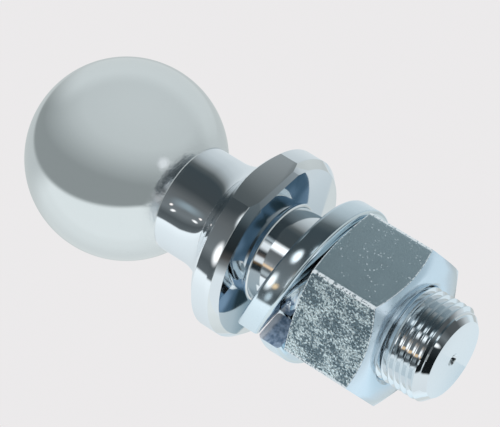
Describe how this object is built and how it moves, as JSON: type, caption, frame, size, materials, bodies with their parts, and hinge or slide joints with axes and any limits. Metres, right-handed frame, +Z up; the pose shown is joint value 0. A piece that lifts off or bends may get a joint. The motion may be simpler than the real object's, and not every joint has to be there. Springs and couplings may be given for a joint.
{
  "type": "threaded tow ball",
  "caption": "Ball stud for a tow bar: ball on a flared neck over a flange with wrench flats, and a threaded shank with a split spring washer and a hexagon nut.",
  "frame": {"origin": "centre of the flange's bearing face, where the stud seats on the tow bar", "axes": "+Z up along the stud's axis towards the ball; -Y faces the wrench flat that the picture shows"},
  "size_m": [0.0508, 0.0508, 0.126],
  "materials": {
    "chrome": "polished chrome plate",
    "washer_zinc": "bright zinc plate",
    "nut_zinc": "bright zinc plate with a bluish cast, pitted on the flats"
  },
  "bodies": {
    "stud": {"ball_stud": "chrome"},
    "washer": {"spring_washer": "washer_zinc"},
    "nut": {"hex_nut": "nut_zinc"}
  },
  "joints": [
    {"name": "washer_slide", "type": "slide", "parent": "stud", "child": "washer", "axis": [0, 0, 1], "range_m": [-0.0341, 0.0033]},
    {"name": "nut_turn", "type": "hinge", "parent": "washer", "child": "nut", "pos_m": [0, 0, -0.029], "axis": [0, 0, 1], "range_deg": [-6750, 650]}
  ],
  "couplings": [
    {"joint": "washer_slide", "follows": "nut_turn", "m_per_rad": 0.00028875}
  ]
}
